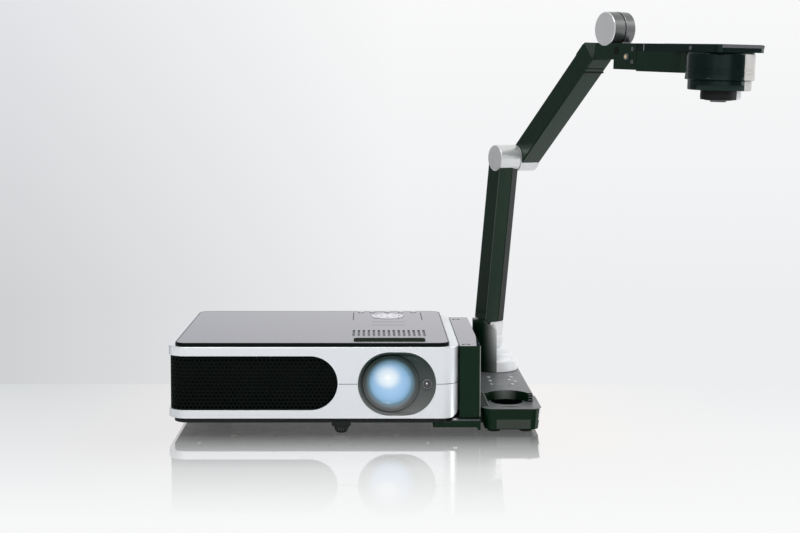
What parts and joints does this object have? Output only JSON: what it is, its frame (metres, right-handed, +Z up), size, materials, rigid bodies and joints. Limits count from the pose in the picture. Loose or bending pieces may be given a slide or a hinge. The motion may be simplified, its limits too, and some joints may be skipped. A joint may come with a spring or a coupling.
{
  "type": "video projector with document camera arm",
  "caption": "Desktop video projector with a silver case, gloss lid, front lens and grille, and a jointed camera arm on a turntable at its side for filming documents.",
  "frame": {"origin": "centre of the front foot's resting face, on the table", "axes": "+X to the viewer's right along the projector's width, +Y from the lens to the back, +Z up"},
  "size_m": [0.5868, 0.4184, 0.4515],
  "materials": {
    "silver_shell": "satin silver paint on moulded plastic",
    "gloss_black": "high gloss black",
    "black_plastic": "fine matte texture",
    "black_arm": "satin black paint on thin tube",
    "grille_black": "matte perforated",
    "satin_aluminium": "satin turned",
    "rubber_black": "matte",
    "lens_glass": "coated optical glass",
    "key_silver": "satin silver",
    "key_pale": "satin pale silver",
    "steel_screw": "zinc plated",
    "board_green": "solder resist",
    "inner_grey": "moulded grey",
    "lamp_gold": "clear lamp cap"
  },
  "bodies": {
    "projector": {"lower_shell": "silver_shell", "upper_shell": "silver_shell", "top_lid": "gloss_black", "bottom_tray": "black_plastic", "front_grille": "grille_black", "lens_bezel": "black_plastic", "ir_receiver": "black_plastic", "lens_barrel": "black_plastic", "front_lens": "lens_glass", "rear_feet": "rubber_black", "lamp_cover": "black_plastic", "filter_cover": "black_plastic", "back_panel": "black_plastic", "ac_inlet": "black_plastic", "av_sockets": "inner_grey", "fan_frame": "black_plastic", "lamp_module": "inner_grey", "optical_engine": "inner_grey", "power_supply": "inner_grey", "main_board": "board_green", "side_bracket": "gloss_black", "base_plate": "gloss_black", "case_screws": "steel_screw", "camera_base": "gloss_black", "base_feet": "rubber_black"},
    "focus_ring": {"focus_ring": "black_plastic"},
    "zoom_ring": {"zoom_ring": "black_plastic"},
    "nav_ring": {"nav_ring": "key_pale"},
    "enter_button": {"enter_button": "key_pale"},
    "function_button_1": {"function_button_1": "key_silver"},
    "function_button_2": {"function_button_2": "key_silver"},
    "function_button_3": {"function_button_3": "key_silver"},
    "function_button_4": {"function_button_4": "key_silver"},
    "function_button_5": {"function_button_5": "key_silver"},
    "camera_button_1": {"camera_button_1": "key_silver"},
    "camera_button_2": {"camera_button_2": "key_silver"},
    "camera_button_3": {"camera_button_3": "key_silver"},
    "menu_button_1": {"menu_button_1": "key_silver"},
    "menu_button_2": {"menu_button_2": "key_silver"},
    "menu_button_3": {"menu_button_3": "key_silver"},
    "menu_button_4": {"menu_button_4": "key_silver"},
    "front_foot": {"front_foot": "rubber_black"},
    "foot_release_button": {"foot_release_button": "black_plastic"},
    "fan_rotor": {"fan_rotor": "black_plastic"},
    "turntable": {"turntable": "satin_aluminium", "pivot_cheek": "black_arm", "base_pin": "satin_aluminium"},
    "lower_arm": {"arm_knuckle": "satin_aluminium", "lower_arm": "black_arm", "elbow_barrel_lower": "satin_aluminium"},
    "upper_arm": {"elbow_barrel_upper": "satin_aluminium", "upper_arm": "black_arm", "top_barrel_arm": "satin_aluminium"},
    "head_arm": {"top_barrel_head": "satin_aluminium", "head_arm": "black_arm", "head_plate": "black_arm", "head_lamp": "lamp_gold", "camera_head": "gloss_black", "camera_lens": "black_plastic"},
    "camera_focus_ring": {"camera_focus_ring": "black_plastic"}
  },
  "joints": [
    {"name": "zoom_turn", "type": "hinge", "parent": "projector", "child": "zoom_ring", "pos_m": [0.0534, 0.0043, 0.0552], "axis": [0, 1, 0], "range_deg": [-25, 25]},
    {"name": "focus_turn", "type": "hinge", "parent": "projector", "child": "focus_ring", "pos_m": [0.0534, 0.0043, 0.0552], "axis": [0, 1, 0], "range_deg": [-40, 40]},
    {"name": "nav_ring_press", "type": "slide", "parent": "projector", "child": "nav_ring", "axis": [0, 0, -1], "range_m": [0, 0.0008], "stiffness_N_per_m": 800, "springref_m": -0.0008},
    {"name": "enter_button_press", "type": "slide", "parent": "projector", "child": "enter_button", "axis": [0, 0, -1], "range_m": [0, 0.0008], "stiffness_N_per_m": 800, "springref_m": -0.0008},
    {"name": "function_button_1_press", "type": "slide", "parent": "projector", "child": "function_button_1", "axis": [0, 0, -1], "range_m": [0, 0.0008], "stiffness_N_per_m": 800, "springref_m": -0.0008},
    {"name": "function_button_2_press", "type": "slide", "parent": "projector", "child": "function_button_2", "axis": [0, 0, -1], "range_m": [0, 0.0008], "stiffness_N_per_m": 800, "springref_m": -0.0008},
    {"name": "function_button_3_press", "type": "slide", "parent": "projector", "child": "function_button_3", "axis": [0, 0, -1], "range_m": [0, 0.0008], "stiffness_N_per_m": 800, "springref_m": -0.0008},
    {"name": "function_button_4_press", "type": "slide", "parent": "projector", "child": "function_button_4", "axis": [0, 0, -1], "range_m": [0, 0.0008], "stiffness_N_per_m": 800, "springref_m": -0.0008},
    {"name": "function_button_5_press", "type": "slide", "parent": "projector", "child": "function_button_5", "axis": [0, 0, -1], "range_m": [0, 0.0008], "stiffness_N_per_m": 800, "springref_m": -0.0008},
    {"name": "camera_button_1_press", "type": "slide", "parent": "projector", "child": "camera_button_1", "axis": [0, 0, -1], "range_m": [0, 0.0008], "stiffness_N_per_m": 800, "springref_m": -0.0008},
    {"name": "camera_button_2_press", "type": "slide", "parent": "projector", "child": "camera_button_2", "axis": [0, 0, -1], "range_m": [0, 0.0008], "stiffness_N_per_m": 800, "springref_m": -0.0008},
    {"name": "camera_button_3_press", "type": "slide", "parent": "projector", "child": "camera_button_3", "axis": [0, 0, -1], "range_m": [0, 0.0008], "stiffness_N_per_m": 800, "springref_m": -0.0008},
    {"name": "menu_button_1_press", "type": "slide", "parent": "projector", "child": "menu_button_1", "axis": [0, 0, -1], "range_m": [0, 0.0008], "stiffness_N_per_m": 800, "springref_m": -0.0008},
    {"name": "menu_button_2_press", "type": "slide", "parent": "projector", "child": "menu_button_2", "axis": [0, 0, -1], "range_m": [0, 0.0008], "stiffness_N_per_m": 800, "springref_m": -0.0008},
    {"name": "menu_button_3_press", "type": "slide", "parent": "projector", "child": "menu_button_3", "axis": [0, 0, -1], "range_m": [0, 0.0008], "stiffness_N_per_m": 800, "springref_m": -0.0008},
    {"name": "menu_button_4_press", "type": "slide", "parent": "projector", "child": "menu_button_4", "axis": [0, 0, -1], "range_m": [0, 0.0008], "stiffness_N_per_m": 800, "springref_m": -0.0008},
    {"name": "front_foot_slide", "type": "slide", "parent": "projector", "child": "front_foot", "axis": [0, 0, -1], "range_m": [0, 0.025]},
    {"name": "foot_release_press", "type": "slide", "parent": "projector", "child": "foot_release_button", "axis": [0, 1, 0], "range_m": [0, 0.0015], "stiffness_N_per_m": 600, "springref_m": -0.001},
    {"name": "fan_spin", "type": "hinge", "parent": "projector", "child": "fan_rotor", "pos_m": [-0.126, 0.009, 0.0504], "axis": [0, 1, 0], "continuous": true},
    {"name": "turntable_swivel", "type": "hinge", "parent": "projector", "child": "turntable", "pos_m": [0.181, 0.164, 0.05], "axis": [0, 0, 1], "range_deg": [-26, 64]},
    {"name": "base_hinge", "type": "hinge", "parent": "turntable", "child": "lower_arm", "pos_m": [0.17837, 0.16939, 0.073], "axis": [0.8988, 0.4384, 0], "range_deg": [-10, 15]},
    {"name": "elbow_hinge", "type": "hinge", "parent": "lower_arm", "child": "upper_arm", "pos_m": [0.20086, 0.13981, 0.29199], "axis": [0.8988, 0.4384, 0], "range_deg": [-40, 35]},
    {"name": "top_hinge", "type": "hinge", "parent": "upper_arm", "child": "head_arm", "pos_m": [0.29078, -0.01021, 0.43339], "axis": [0.8988, 0.4384, 0], "range_deg": [-80, 0]},
    {"name": "camera_focus_turn", "type": "hinge", "parent": "head_arm", "child": "camera_focus_ring", "pos_m": [0.36174, -0.15959, 0.36734], "axis": [-0.0222, 0.0455, -0.9987], "range_deg": [-60, 60]}
  ]
}
